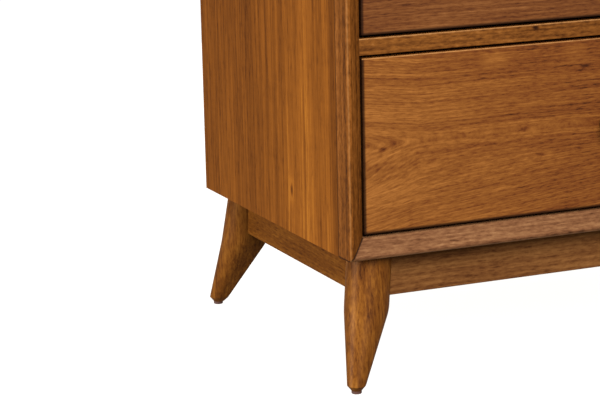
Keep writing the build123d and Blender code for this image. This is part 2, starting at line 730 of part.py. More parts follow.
inner_slide_cuts = {}
for name, height in slide_heights.items():
    middle = channel(MIDDLE_WEB, SLIDE_THICKNESS - FLANGE_STOP, MIDDLE_HALF, height)
    inner = channel(SLIDE_THICKNESS, MIDDLE_WEB + SHEET + FLANGE_STOP, INNER_HALF, height)
    inner_places = slide_screw_places(height, INNER_WEB, outwards=False)
    inner_slide_cuts[name] = together([slide_blank], inner_places)
    save(both_sides(middle), f"{name}_middle_slides")
    save(less(both_sides(inner), inner_slide_cuts[name]), f"{name}_inner_slides")
    save(together([slide_screw], inner_places), f"{name}_drawer_slide_screws")
    save(both_sides(ball_rows(height, MIDDLE_HALF)), f"{name}_outer_ball_cages")
    save(both_sides(ball_rows(height, INNER_HALF)), f"{name}_inner_ball_cages")

# ---------------------------------------------------------------- drawers
front_screw_blank = screw_blank(FRONT_SCREW_LENGTH, SCREW_RADIUS, SCREW_HEAD_RADIUS)
front_screw = with_recess(front_screw_blank, SCREW_HEAD_RADIUS, SCREW_RADIUS * RECESS_DEPTH_SHARE)
knob_screw_length = KNOB_SCREW_IN_KNOB + DRAWER_FRONT_THICKNESS + BOX_WALL
knob_blank = pan_screw_blank(
    knob_screw_length, KNOB_SCREW_RADIUS, KNOB_SCREW_HEAD_RADIUS, KNOB_SCREW_HEAD_HEIGHT
)
knob_screw = with_recess(
    knob_blank, KNOB_SCREW_HEAD_RADIUS, KNOB_SCREW_HEAD_HEIGHT * PAN_RECESS_SHARE
)


def tails(base, root, end, sign):
    """The dovetails at one end of a box side, from their roots to the side's end."""
    pitch = BOX_HEIGHT / TAIL_COUNT
    half_root = pitch * TAIL_ROOT_SHARE / 2
    half_end = half_root + BOX_WALL * TAIL_SLOPE
    start = min(sign * INSIDE_HALF_WIDTH, sign * BOX_HALF_WIDTH)
    with BuildPart() as made:
        with BuildSketch(Plane.YZ.offset(start)):
            for index in range(TAIL_COUNT):
                middle = base + pitch * (index + 1 / 2)
                with BuildLine():
                    Polyline(
                        (root, middle - half_root),
                        (end, middle - half_end),
                        (end, middle + half_end),
                        (root, middle + half_root),
                        close=True,
                    )
                make_face()
        extrude(amount=BOX_WALL)
    return made


def turned_knob(height):
    """A turned knob: a foot ring, a slim waist and a domed mushroom head, on the drawer's face."""
    seat = Plane((0, DRAWER_FACE, height), x_dir=(1, 0, 0), z_dir=(0, 0, 1))
    rim = KNOB_PROJECTION - KNOB_DOME_HEIGHT
    neck_end = rim - KNOB_UNDERCUT
    ring = (KNOB_BASE_RADIUS, -KNOB_BASE_HEIGHT)
    shoulder = (KNOB_BASE_RADIUS, -neck_end)
    edge = (KNOB_HEAD_RADIUS, -rim)
    out = KNOB_HEAD_RADIUS - KNOB_BASE_RADIUS
    under_rim = (KNOB_BASE_RADIUS + out * sin(radians(45)), -rim + KNOB_UNDERCUT * cos(radians(45)))
    dome_radius = (KNOB_HEAD_RADIUS**2 + KNOB_DOME_HEIGHT**2) / (2 * KNOB_DOME_HEIGHT)
    dome_middle = dome_radius - KNOB_PROJECTION
    half_rim = KNOB_HEAD_RADIUS / 2
    dome_at_half = sqrt(dome_radius**2 - half_rim**2)
    with BuildPart() as made:
        with BuildSketch(seat):
            with BuildLine():
                Line((0, 0), (KNOB_BASE_RADIUS, 0))
                Line((KNOB_BASE_RADIUS, 0), ring)
                ThreePointArc(ring, (KNOB_NECK_RADIUS, -(KNOB_BASE_HEIGHT + neck_end) / 2), shoulder)
                ThreePointArc(shoulder, under_rim, edge)
                ThreePointArc(edge, (half_rim, dome_middle - dome_at_half), (0, -KNOB_PROJECTION))
                Line((0, -KNOB_PROJECTION), (0, 0))
            make_face()
        revolve(axis=Axis((0, DRAWER_FACE, height), (0, 1, 0)))
    return made


for name, front_base in FRONT_BASES.items():
    box_base = front_base + BOX_LIFT
    box_top = box_base + BOX_HEIGHT
    box_height = (box_base, box_top)
    middle = front_base + DRAWER_FRONT_HEIGHT / 2
    ends = {
        "front": (BOX_START + BOX_WALL, BOX_START),
        "back": (BOX_END - BOX_WALL, BOX_END),
    }
    bottom_base = box_base + BOTTOM_LIFT
    bottom_height = (bottom_base, bottom_base + BOTTOM_THICKNESS)
    groove_reach = INSIDE_HALF_WIDTH + GROOVE_DEPTH
    groove_start = BOX_START + BOX_WALL - GROOVE_DEPTH
    groove_end = BOX_END - BOX_WALL + GROOVE_DEPTH
    groove = board((-groove_reach, groove_reach), (groove_start, groove_end), bottom_height)
    bottom = board(
        (GROOVE_PLAY - groove_reach, groove_reach - GROOVE_PLAY),
        (groove_start + GROOVE_PLAY, groove_end - GROOVE_PLAY),
        bottom_height,
    )
    save(bottom, f"{name}_drawer_bottom")

    all_tails = together(
        [
            tails(box_base, root, end, sign)
            for root, end in ends.values()
            for sign in SIDES.values()
        ]
    )
    for side, sign in SIDES.items():
        plain_side = board(
            (sign * INSIDE_HALF_WIDTH, sign * BOX_HALF_WIDTH),
            (BOX_START + BOX_WALL, BOX_END - BOX_WALL),
            box_height,
        )
        with_tails = together(
            [plain_side] + [tails(box_base, root, end, sign) for root, end in ends.values()]
        )
        save(less(with_tails, groove, inner_slide_cuts[name]), f"{name}_drawer_{side}_side")

    screw_line = INSIDE_HALF_WIDTH - FRONT_SCREW_INSET
    screw_levels = (box_base + FRONT_SCREW_RISE, box_top - FRONT_SCREW_DROP)
    front_places = [
        aimed((x, BOX_START + BOX_WALL, z), (0, -1, 0))
        for x in (-screw_line, screw_line)
        for z in screw_levels
    ]
    knob_place = [aimed((0, BOX_START + BOX_WALL, middle), (0, -1, 0))]
    front_cuts = together([front_screw_blank], front_places)
    knob_cut = together([knob_blank], knob_place)
    save(together([front_screw], front_places), f"{name}_drawer_front_screws")
    save(together([knob_screw], knob_place), f"{name}_knob_screw")
    save(less(turned_knob(middle), knob_cut), f"{name}_knob")

    for end, (root, tip) in ends.items():
        blank = board((-BOX_HALF_WIDTH, BOX_HALF_WIDTH), sorted((root, tip)), box_height)
        save(less(blank, all_tails, groove, front_cuts, knob_cut), f"{name}_drawer_box_{end}")

    with BuildPart() as face:
        face_height = (front_base, front_base + DRAWER_FRONT_HEIGHT)
        face_width = (-DRAWER_HALF_WIDTH, DRAWER_HALF_WIDTH)
        add(board(face_width, (DRAWER_FACE, BOX_START), face_height).part)
        fillet(face.faces().sort_by(Axis.Y)[0].edges(), radius=EASE)
        add(front_cuts.part, mode=Mode.SUBTRACT)
        add(knob_cut.part, mode=Mode.SUBTRACT)
    save(face, f"{name}_drawer_front")
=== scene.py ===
import math

import bpy
from mathutils import Matrix, Vector


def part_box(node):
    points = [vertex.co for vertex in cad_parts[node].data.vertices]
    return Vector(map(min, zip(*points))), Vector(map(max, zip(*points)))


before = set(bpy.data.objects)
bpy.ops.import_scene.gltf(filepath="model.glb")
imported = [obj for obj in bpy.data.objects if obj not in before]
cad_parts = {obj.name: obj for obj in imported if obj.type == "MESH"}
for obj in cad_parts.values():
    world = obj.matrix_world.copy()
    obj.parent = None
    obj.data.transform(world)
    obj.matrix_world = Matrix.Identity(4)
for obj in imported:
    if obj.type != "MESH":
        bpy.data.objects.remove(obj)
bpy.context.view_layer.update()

# ---- The camera
# Stands in front of the case and to its left, a little above its top, and looks slightly down,
# from far enough away for a long lens.
case_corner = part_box("left_stile")[0]
CAMERA_REACH = Vector((-0.95782, -2.12431, 0.59051))  # metres from the case's corner
CAMERA_YAW, CAMERA_PITCH, CAMERA_ROLL = 22.91, 12.50, -1.302  # degrees
LENS, SENSOR_WIDTH = 128.17, 36  # millimetres
camera_data = bpy.data.cameras.new("camera")
camera_data.lens = LENS
camera_data.sensor_width = SENSOR_WIDTH
camera = bpy.data.objects.new("camera", camera_data)
bpy.context.scene.collection.objects.link(camera)
camera.matrix_world = (
    Matrix.Translation(case_corner + CAMERA_REACH)
    @ Matrix.Rotation(math.radians(-CAMERA_YAW), 4, "Z")
    @ Matrix.Rotation(math.radians(90 - CAMERA_PITCH), 4, "X")
    @ Matrix.Rotation(math.radians(CAMERA_ROLL), 4, "Z")
)
bpy.context.scene.camera = camera
bpy.context.scene.view_settings.view_transform = "Standard"


# ---- The studio floor and lamps
# Seamless white paper with a lamp of its own that keeps it white right up to the feet. Large
# softboxes light the piece from high in front, from the left and from high behind.
def linear(hexa):
    """An sRGB hex colour as linear red, green, blue and alpha."""
    shares = [int(hexa[i : i + 2], 16) / 255 for i in (1, 3, 5)]
    return [s / 12.92 if s <= 0.04045 else ((s + 0.055) / 1.055) ** 2.4 for s in shares] + [1]


def add_node(tree, kind, inputs, out=0, stops=(), **settings):
    """Adds a node with its settings, input values or links, and ramp stops; returns one output."""
    made = tree.nodes.new("ShaderNode" + kind)
    for name, value in settings.items():
        setattr(made, name, value)
    for name, value in inputs.items() if isinstance(inputs, dict) else enumerate(inputs):
        if isinstance(value, bpy.types.NodeSocket):
            tree.links.new(value, made.inputs[name])
        else:
            made.inputs[name].default_value = value
    for index, (position, hexa) in enumerate(stops):
        elements = made.color_ramp.elements
        stop = elements[index] if index < 2 else elements.new(position)
        stop.position, stop.color = position, linear(hexa)
    return made.outputs[out]


def new_material(name):
    """A material with an empty node tree and its output node."""
    material = bpy.data.materials.new(name)
    material.use_nodes = True
    tree = material.node_tree
    tree.nodes.clear()
    return material, tree, tree.nodes.new("ShaderNodeOutputMaterial").inputs["Surface"]


# Matt white paper: even and shineless, only just clouded.
FLOOR_REACH = 2.5  # metres to each side of the middle
PAPER_CLOUDS = 3.0  # clouds across the whole sheet
paper, tree, surface = new_material("seamless_paper_matt_white")
texture = add_node(tree, "TexNoise", {"Scale": PAPER_CLOUDS, "Detail": 2.0})
shade = add_node(tree, "ValToRGB", {0: texture}, stops=[(0.3, "#f5f4f2"), (0.7, "#f7f6f4")])
tree.links.new(add_node(tree, "BsdfDiffuse", {"Color": shade, "Roughness": 0.9}), surface)
floor_mesh = bpy.data.meshes.new("studio_floor")
floor_mesh.from_pydata(
    [(x * FLOOR_REACH, y * FLOOR_REACH, 0) for x, y in ((-1, -1), (1, -1), (1, 1), (-1, 1))],
    [],
    [(0, 1, 2, 3)],
)
floor_mesh.materials.append(paper)
floor = bpy.data.objects.new("studio_floor", floor_mesh)
bpy.context.scene.collection.objects.link(floor)
floor.visible_diffuse = floor.visible_glossy = False  # it throws no light back at the piece

# The room is white to look at, but gives the piece only a weak fill.
ROOM_SEEN, ROOM_FILL = 1.05, 0.35
world = bpy.data.worlds.new("white_room")
world.use_nodes = True
tree = world.node_tree
seen = add_node(tree, "LightPath", {})
strength = add_node(tree, "MapRange", {0: seen, 3: ROOM_FILL, 4: ROOM_SEEN})
tree.links.new(strength, tree.nodes["Background"].inputs["Strength"])
tree.nodes["Background"].inputs["Color"].default_value = linear("#ffffff")
bpy.context.scene.world = world

# The low side softbox leaves the top out, or it would burn out there at a flat glance.
lit_piece = bpy.data.collections.new("lit_piece")
lit_walls = bpy.data.collections.new("lit_walls")
for name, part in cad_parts.items():
    lit_piece.objects.link(part)
    if name not in ("top_panel", "top_rail"):
        lit_walls.objects.link(part)
lit_floor = bpy.data.collections.new("lit_floor")
lit_floor.objects.link(floor)
SOFTBOXES = {  # place, aim and width in metres, watts, and what it lights
    "front_softbox": ((-0.8, -3.0, 2.1), (0, 0, 0.35), 2.0, 232, lit_piece),
    "side_softbox": ((-3.4, 0.2, 0.95), (0, 0, 0.3), 1.5, 138, lit_walls),
    "rear_softbox": ((2.6, 2.6, 2.2), (0, 0, 0.35), 1.6, 190, lit_piece),
}
for name, (place, aim, width, watts, lit) in SOFTBOXES.items():
    lamp_data = bpy.data.lights.new(name, "AREA")
    lamp_data.shape, lamp_data.size, lamp_data.energy = "SQUARE", width, watts
    lamp = bpy.data.objects.new(name, lamp_data)
    bpy.context.scene.collection.objects.link(lamp)
    lamp.location = place
    lamp.rotation_euler = (Vector(aim) - Vector(place)).to_track_quat("-Z", "Y").to_euler()
    lamp.light_linking.receiver_collection = lit
floor_lamp_data = bpy.data.lights.new("floor_lamp", "SUN")
PAPER_LIGHT = 1.22  # of what turns white paper fully white
floor_lamp_data.energy = PAPER_LIGHT * math.pi
floor_lamp = bpy.data.objects.new("floor_lamp", floor_lamp_data)
bpy.context.scene.collection.objects.link(floor_lamp)
floor_lamp.light_linking.receiver_collection = lit_floor
floor_lamp.light_linking.blocker_collection = lit_floor


# ---- The case's two side panels
# Board faced with walnut veneer, rift cut, its grain upright. Thinly stained and lacquered to a
# satin sheen, so that the stripes show and the pores stay slightly open.
def grain_noise(tree, place, cell, shift, detail=2.0, rough=0.6):
    """Noise in cells of the given millimetres along, across and into the face."""
    spot = add_node(tree, "Mapping", {"Vector": place, "Location": (shift, 2 * shift, -shift),
                                      "Scale": [1 / size for size in cell]})
    return add_node(tree, "TexNoise", {"Vector": spot, "Scale": 1.0, "Detail": detail,
                                       "Roughness": rough})


JOINT_COLOUR = "#1c0d06"  # glue and shadow in a closed joint
JOINT_FADE = 2.5  # half widths from the middle of a joint to where its line has faded out
PAINTED_HIGHLIGHT_COLOUR = "#9a6c3e"  # painted highlight along an arris, in the colour of pale unstained wood
STRAY_CELL, SPACING_LENGTH, STRIPE_LENGTH = (240, 70, 90), 500, 700  # millimetres, as below
FLAME_CELL, HAZE_CELL, FLECK_CELL = (7, 50, 20), (160, 45, 60), (9, 3.5, 4)
FIBRE_LENGTH, DASH_LENGTH, DASH_WIDTH = 30, 5, 0.8  # times the fibre's width
RING_JITTER, RING_END_SHARPNESS = 3.0, 5.0  # rings, and how thin their dark ends are
HEART_TWIST = 0.12  # millimetres deeper for each millimetre across
PORE_DARKEST, PORE_CLEAR = 0.34, 0.44  # levels of the dashes that are open pores
KNOT_SLIMNESS, KNOT_RAGGEDNESS = 0.45, 0.9  # width over length, and how torn its outline is
KNOT_CORE, KNOT_RIM = 0.5, 1.9  # in knot sizes: how far its full mark and its halo reach
GRAIN_DEPTH, GRAIN_RELIEF = 0.00012, 0.35  # metres, and how much of it the lacquer leaves
STRIPE_SHINE = 0.14  # how much smoother the pale stripes are than the dark ones


def wood(name, grain, tones, seed, ring=7.0, wander=5.0, stripes=0.3, lines=0.06, fine=2.2,
         fibre=0.14, dashes=0.2, pores=0.12, ripple=0.05, cloud=0.2, mottle=0.0, shades=(),
         lean=None, heart=None, bands=(), knots=(), joints=(), arris_highlights=(), roughness=0.45, gloss=0.05):
    """Wood as a solid texture. grain names the axes along, across and into the face.

    All lengths are millimetres: ring is the spacing of the growth rings, wander how far they
    stray and fine the width of a fibre. stripes to mottle are shares of the tone, from 0 at the
    darkest of the tones to 1 at the palest. The other values are tuples:
    shades: along or across, from, to, and the tone added at each; lean: across from, across to
    and slope; heart: along, across, slope of the arches, roundness of their tips and end;
    bands: across and tone; knots: along, across, size and depth; joints: normal, offset, half
    width and strength of a dark line; arris_highlights: point, mask, reach and strength of a
    painted highlight along an arris.
    """
    material, tree, surface = new_material(name)
    place = add_node(tree, "TexCoord", {}, out=3)
    point = add_node(tree, "VectorMath", {0: place, "Scale": 1000.0}, operation="SCALE")
    axes = tree.nodes.new("ShaderNodeSeparateXYZ")
    tree.links.new(point, axes.inputs[0])
    along, across, deep = (axes.outputs["XYZ".index(letter.upper())] for letter in grain)
    straight = add_node(tree, "CombineXYZ", (along, across, deep))

    # the growth rings wander, may lean, and close to pointed arches round a heart
    drift = grain_noise(tree, straight, STRAY_CELL, seed)
    centred = add_node(tree, "Math", (across, -wander), operation="ADD")
    ringed = add_node(tree, "Math", (drift, 2 * wander, centred), operation="MULTIPLY_ADD")
    if lean:
        lean_from, lean_to, slope = lean
        share = add_node(tree, "MapRange", {0: across, 1: lean_from, 2: lean_to},
                         interpolation_type="SMOOTHSTEP")
        tilt = add_node(tree, "Math", (along, -slope), operation="MULTIPLY")
        ringed = add_node(tree, "Math", (tilt, share, ringed), operation="MULTIPLY_ADD")
    if heart:
        along_at, across_at, slope, round_off, last = heart
        rise = add_node(tree, "Math", (ringed, across_at), operation="SUBTRACT")
        square = add_node(tree, "Math", (rise, rise, round_off**2), operation="MULTIPLY_ADD")
        arch = add_node(tree, "Math", (square,), operation="SQRT")
        run = add_node(tree, "MapRange", {0: along, 1: along_at, 2: last, 3: 0.0,
                                          4: slope * (last - along_at)})
        ringed = add_node(tree, "Math", (arch, run), operation="ADD")
        # keeps the flecks on the two sides of the heart from mirroring each other
        deep = add_node(tree, "Math", (across, HEART_TWIST, deep), operation="MULTIPLY_ADD")
    bent = add_node(tree, "CombineXYZ", (along, ringed, deep))

    # uneven stripes with a thin darker line where each ring ends
    growth = grain_noise(tree, bent, (STRIPE_LENGTH, ring, 3 * ring), seed + 1, 4)
    spacing = grain_noise(tree, bent, (SPACING_LENGTH, 5 * ring, 5 * ring), seed + 2, 1)
    count = add_node(tree, "Math", (ringed, ring), operation="DIVIDE")
    phase = add_node(tree, "Math", (spacing, RING_JITTER, count), operation="MULTIPLY_ADD")
    phase = add_node(tree, "Math", (phase,), operation="FRACT")
    ring_end = add_node(tree, "Math", (phase, RING_END_SHARPNESS), operation="POWER")

    # fibres and open pores: 0.3 mm wide on the real wood and drawn coarser here, since they
    # would be too fine to show
    fibres = grain_noise(tree, bent, (FIBRE_LENGTH * fine, fine, fine), seed + 3)
    dash_cell = (DASH_LENGTH * fine, DASH_WIDTH * fine, DASH_WIDTH * fine)
    dash = grain_noise(tree, bent, dash_cell, seed + 4, 2, 0.7)
    flame = grain_noise(tree, straight, FLAME_CELL, seed + 5)
    haze = grain_noise(tree, straight, HAZE_CELL, seed + 6)
    flecks = grain_noise(tree, straight, FLECK_CELL, seed + 7, 3)

    # all of them added up from the middle tone
    tone = add_node(tree, "Math", (ring_end, -lines, 0.5), operation="MULTIPLY_ADD")
    for pattern, amount in ((growth, 1.2 * stripes), (fibres, fibre), (dash, dashes),
                            (flame, ripple), (haze, cloud), (flecks, mottle)):
        level = add_node(tree, "Math", (pattern, 2 * amount, -amount), operation="MULTIPLY_ADD")
        tone = add_node(tree, "Math", (tone, level), operation="ADD")
    open_pore = add_node(tree, "MapRange", {0: dash, 1: PORE_DARKEST, 2: PORE_CLEAR, 3: -pores,
                                            4: 0.0})
    tone = add_node(tree, "Math", (tone, open_pore), operation="ADD")
    for direction, first, last, level_first, level_last in shades:
        level = add_node(tree, "MapRange", {0: along if direction == "along" else across,
                                            1: first, 2: last, 3: level_first, 4: level_last})
        tone = add_node(tree, "Math", (tone, level), operation="ADD")
    if bands:
        first, last = bands[0][0], bands[-1][0]
        share = add_node(tree, "MapRange", {0: ringed, 1: first, 2: last})
        curve = tree.nodes.new("ShaderNodeFloatCurve")
        points = curve.mapping.curves[0].points
        for index, (position, level) in enumerate(bands):
            where = (position - first) / (last - first)
            if index in (0, len(bands) - 1):
                points[0 if index == 0 else -1].location = (where, 0.5 + level)
            else:
                points.new(where, 0.5 + level)
        curve.mapping.update()
        tree.links.new(share, curve.inputs["Value"])
        level = add_node(tree, "Math", (curve.outputs[0], 0.5), operation="SUBTRACT")
        tone = add_node(tree, "Math", (tone, level), operation="ADD")
    for along_at, across_at, size, depth in knots:
        offset = add_node(tree, "Mapping", {
            "Vector": straight, "Scale": (KNOT_SLIMNESS / size, 1 / size, 0),
            "Location": (-KNOT_SLIMNESS * along_at / size, -across_at / size, 0)})
        reach = add_node(tree, "VectorMath", (offset,), out=1, operation="LENGTH")
        ragged = add_node(tree, "Math", (dash, KNOT_RAGGEDNESS, reach),
                          operation="MULTIPLY_ADD")
        mark = add_node(tree, "MapRange", {0: ragged, 1: KNOT_CORE, 2: KNOT_RIM, 3: -depth,
                                           4: 0.0}, interpolation_type="SMOOTHSTEP")
        tone = add_node(tree, "Math", (tone, mark), operation="ADD")
    colour = add_node(tree, "ValToRGB", {0: tone},
                      stops=[(i / (len(tones) - 1), hexa) for i, hexa in enumerate(tones)])
    for normal, offset, half_width, strength in joints:
        side = add_node(tree, "VectorMath", (point, normal), out=1, operation="DOT_PRODUCT")
        away = add_node(tree, "Math", (side, offset), operation="SUBTRACT")
        away = add_node(tree, "Math", (away,), operation="ABSOLUTE")
        seam = add_node(tree, "MapRange", {0: away, 1: half_width, 2: JOINT_FADE * half_width,
                                           3: strength, 4: 0.0})
        colour = add_node(tree, "Mix", {0: seam, 6: colour, 7: linear(JOINT_COLOUR)}, out=2,
                          data_type="RGBA")
    # painted highlights: pale mottled wood along an arris, in place of the lamps' glint there
    for arris_at, mask, reach, strength in arris_highlights:
        off = add_node(tree, "VectorMath", (point, arris_at), operation="SUBTRACT")
        off = add_node(tree, "VectorMath", (off, mask), operation="MULTIPLY")
        away = add_node(tree, "VectorMath", (off,), out=1, operation="LENGTH")
        highlight_share = add_node(tree, "MapRange", {0: away, 1: reach, 2: 0.0, 3: 0.0, 4: 2 * strength},
                        interpolation_type="SMOOTHSTEP")
        highlight_share = add_node(tree, "Math", (highlight_share, flecks), operation="MULTIPLY")
        colour = add_node(tree, "Mix", {0: highlight_share, 6: colour, 7: linear(PAINTED_HIGHLIGHT_COLOUR)}, out=2,
                          data_type="RGBA")

    # the fibres and pores stay slightly open, and dark stripes shine less
    relief = add_node(tree, "Math", (fibres, dash), operation="ADD")
    bump = add_node(tree, "Bump", {"Height": relief, "Strength": GRAIN_RELIEF,
                                   "Distance": GRAIN_DEPTH})
    sheen = add_node(tree, "Math", (growth, -STRIPE_SHINE, roughness + STRIPE_SHINE / 2),
                     operation="MULTIPLY_ADD")
    skin = add_node(tree, "BsdfPrincipled", {
        "Base Color": colour, "Roughness": sheen, "Normal": bump, "IOR": 1.5,
        "Specular IOR Level": gloss})
    tree.links.new(skin, surface)
    return material


def finish_with(material, *names):
    """Gives CAD nodes one material in every slot."""
    for name in names:
        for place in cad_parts[name].material_slots:
            place.material = material


def box_mm(name):
    """A node's lowest and highest corners in millimetres."""
    return [corner * 1000 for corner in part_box(name)]


# The case's left, front and lower faces, where the edging meets the panels, and the case's
# right and upper faces.
stile_low, stile_high = box_mm("left_stile")
LEFT, FRONT, BASE = stile_low
SEAM = stile_high.y
RIGHT, _, TOP = box_mm("top_panel")[1]

# Walnut veneer: warm upright stripes with a few lighter bands, and a silky, nearly dull sheen.
WALNUT_SIDE = ["#361908", "#542d0d", "#683a11", "#7b4716", "#925a1d"]
SEAM_LINE, FINE_SEAM_LINE = (0.5, 0.8), (0.35, 0.8)  # half width and darkness
SIDE_KNOT = (BASE + 53, FRONT + 166.6)  # a dark eye in a pale oval
side_bands = [  # how far behind the front face, and how much paler
    (0, -0.1), (36, -0.14), (50, -0.1), (60, 0.2), (68, 0.05), (95, 0.06), (118, 0.22),
    (146, 0.12), (165, 0.12), (190, 0.0), (232, -0.04), (300, -0.12), (380, -0.1), (458, -0.14),
]
side_walnut = wood(
    "walnut_veneer_left_side", "zyx", WALNUT_SIDE, seed=3.0, ring=4.6, wander=3.0, stripes=0.38,
    fine=4.5, fibre=0.3, dashes=0.14, cloud=0.14, gloss=0.01,
    # painted light: paler low down and darker towards the top, as the floor's bounce would light it
    shades=[("along", BASE, TOP, 0.09, -0.09)],
    bands=[(FRONT + depth, level) for depth, level in side_bands],
    knots=[(*SIDE_KNOT, 9.0, -0.22), (*SIDE_KNOT, 3.4, 0.75)],
    joints=[((0, 1, 0), SEAM, *SEAM_LINE)],
)
finish_with(side_walnut, "left_side_panel")
right_walnut = wood(
    "walnut_veneer_right_side", "zyx", WALNUT_SIDE, seed=21.0, ring=8.0, wander=6.0, stripes=0.4,
    fine=3.0, gloss=0.02,
    knots=[(BASE + 310, FRONT + 215, 3.0, 0.4)],
    joints=[((0, 1, 0), SEAM, *FINE_SEAM_LINE)],
)
finish_with(right_walnut, "right_side_panel")

# ---- The case's top and bottom panels
# The same veneered board, the grain running from side to side. The top shows the heart of a
# flat-cut leaf, whose rings run out in long ovals.

# Walnut veneer: long ovals of darker lines on a lighter, browner ground, with no glare.
WALNUT_TOP = ["#2f1508", "#5a2f10", "#6f4117", "#83521e", "#986627"]
top_walnut = wood(
    "walnut_veneer_top", "xyz", WALNUT_TOP, seed=5.0, ring=8.0, wander=7.0, stripes=0.45,
    heart=(LEFT, 20, 0.13, 18, RIGHT), gloss=0.01, roughness=0.6,
    joints=[((0, 1, 0), SEAM, *FINE_SEAM_LINE)],
)
finish_with(top_walnut, "top_panel")
bottom_walnut = wood("walnut_veneer_underside", "xyz", WALNUT_TOP, seed=11.0, ring=9.0)
finish_with(bottom_walnut, "bottom_panel")

# ---- The case's mitred front edging
# Solid walnut lippings, bevelled in towards the drawers and glued to the panels' front edges.
# The four meet in mitres, which show as thin dark lines.

# Solid walnut: darker than the veneer, in short mottled flecks; the arrises get painted highlights.
STILE = ["#281105", "#48260b", "#5f3510", "#724218", "#885626"]
# The rails are paler and pinker than the stiles: partly their wood, partly a painted milky sheen,
# the white floor's reflection on the lower rail's upward bevel.
RAIL_TONES_AND_SHEEN = ["#351e10", "#56351f", "#69452b", "#7b5637", "#906b49"]
MITRE = math.sqrt(0.5)
MITRE_LINE = (0.6, 0.85)  # half width and darkness
low_left_mitre = ((MITRE, 0, -MITRE), MITRE * (LEFT - BASE), *MITRE_LINE)
low_right_mitre = ((MITRE, 0, MITRE), MITRE * (RIGHT + BASE), *MITRE_LINE)
top_left_mitre = ((MITRE, 0, MITRE), MITRE * (LEFT + TOP), *MITRE_LINE)
top_right_mitre = ((MITRE, 0, -MITRE), MITRE * (RIGHT - TOP), *MITRE_LINE)
glue_line = ((0, 1, 0), SEAM, 0.5, 0.7)
EDGING_HIGHLIGHT = (2.6, 0.95)  # reach and strength of the painted arris highlight
edgings = {
    "left_stile": ("zyx", STILE, 31.0, [low_left_mitre, top_left_mitre],
                   ((LEFT, FRONT, 0), (1, 1, 0))),
    "right_stile": ("zyx", STILE, 37.0, [low_right_mitre, top_right_mitre],
                    ((RIGHT, FRONT, 0), (1, 1, 0))),
    "bottom_rail": ("xzy", RAIL_TONES_AND_SHEEN, 41.0, [low_left_mitre, low_right_mitre],
                    ((0, FRONT, BASE), (0, 1, 1))),
    "top_rail": ("xzy", RAIL_TONES_AND_SHEEN, 47.0, [top_left_mitre, top_right_mitre],
                 ((0, FRONT, TOP), (0, 1, 1))),
}
for name, (grain, tones, seed, mitres, arris) in edgings.items():
    edging_walnut = wood(
        f"solid_walnut_{name}", grain, tones, seed, ring=4.0, wander=3.0, stripes=0.5,
        fine=3.0, fibre=0.25, mottle=0.45, joints=[*mitres, glue_line],
        arris_highlights=[(*arris, *EDGING_HIGHLIGHT)], roughness=0.4, gloss=0.02 if tones is STILE else 0.06,
    )
    finish_with(edging_walnut, name)

# ---- The divider rails between the drawers
# The front rail is solid walnut with a short, mottled figure and a small knot. The rear rail and
# the dowels are plain beech, never stained.

# Solid walnut: the most broken figure on the piece, flecked light and dark.
DIVIDER = ["#210d04", "#442309", "#5d3512", "#724419", "#8d5d32"]
divider_low, divider_high = box_mm("divider_rail")
divider_walnut = wood(
    "solid_walnut_divider", "xzy", DIVIDER, seed=53.0, ring=4.5, wander=4.0, stripes=0.45,
    fine=3.0, mottle=0.5, knots=[(LEFT + 246, divider_high.z - 3.5, 2.2, 0.6)],
    # painted highlight along the rail's upper arris
    arris_highlights=[((0, divider_low.y, divider_high.z), (0, 1, 1), 2.0, 0.9)], gloss=0.05,
)
finish_with(divider_walnut, "divider_rail")

# Planed beech: pale, plain and dull, since it has no lacquer.
BEECH = ["#8a6238", "#a77c4c", "#b98d5b", "#c79d6b", "#d3ac7c"]
beech_across = wood(
    "beech_planed", "xzy", BEECH, seed=61.0, ring=6.0, stripes=0.3, lines=0.05,
    roughness=0.62, gloss=0.2,
)
finish_with(beech_across, "rear_divider_rail", "divider_dowels")

# ---- The back panel, the side linings and their screws
# Thin birch plywood let into a rabbet round the back and screwed there. The linings pack the
# case's sides out to the drawer slides.
PLY_LAYER, LAYER_DARK = 1.25, 0.6  # millimetres, and how much darker every second layer is


def plywood(name, grain, tones, seed):
    """Birch plywood: a close pale face, and layers of turned grain on its edges."""
    material = wood(name, grain, tones, seed, ring=14.0, wander=14.0, stripes=0.4, lines=0.04,
                    fibre=0.1, dashes=0.1, cloud=0.3, roughness=0.6, gloss=0.2)
    tree = material.node_tree
    skin = next(n for n in tree.nodes if n.type == "BSDF_PRINCIPLED")
    face = skin.inputs["Base Color"].links[0].from_socket
    axes = next(n for n in tree.nodes if n.type == "SEPXYZ")
    deep = axes.outputs["XYZ".index(grain[2].upper())]
    layer = add_node(tree, "Math", {0: deep, 1: 2 * PLY_LAYER}, operation="FLOORED_MODULO")
    turned = add_node(tree, "Math", {0: layer, 1: PLY_LAYER}, operation="GREATER_THAN")
    normal = add_node(tree, "NewGeometry", {}, out=1)
    parts = tree.nodes.new("ShaderNodeSeparateXYZ")
    tree.links.new(normal, parts.inputs[0])
    facing = add_node(tree, "Math", {0: parts.outputs["XYZ".index(grain[2].upper())]},
                      operation="ABSOLUTE")
    edge = add_node(tree, "Math", {0: facing, 1: 0.5}, operation="LESS_THAN")
    mark = add_node(tree, "Math", {0: turned, 1: edge}, operation="MULTIPLY")
    weight = add_node(tree, "Math", {0: mark, 1: LAYER_DARK}, operation="MULTIPLY")
    colour = add_node(tree, "Mix", {0: weight, 6: face, 7: linear(tones[0])}, out=2,
                      data_type="RGBA")
    tree.links.new(colour, skin.inputs["Base Color"])
    return material


# Birch plywood: pale and cloudy, with thin darker layers wherever an edge shows.
BIRCH = ["#8d6a40", "#a5814f", "#b5915d", "#c29f6c", "#cdac7b"]
finish_with(plywood("birch_plywood_back", "zxy", BIRCH, 67.0), "back_panel")
finish_with(plywood("birch_plywood_linings", "yzx", BIRCH, 71.0), "side_linings")


DULLEST, BRIGHTEST = 0.3, 0.95  # levels of the crystals


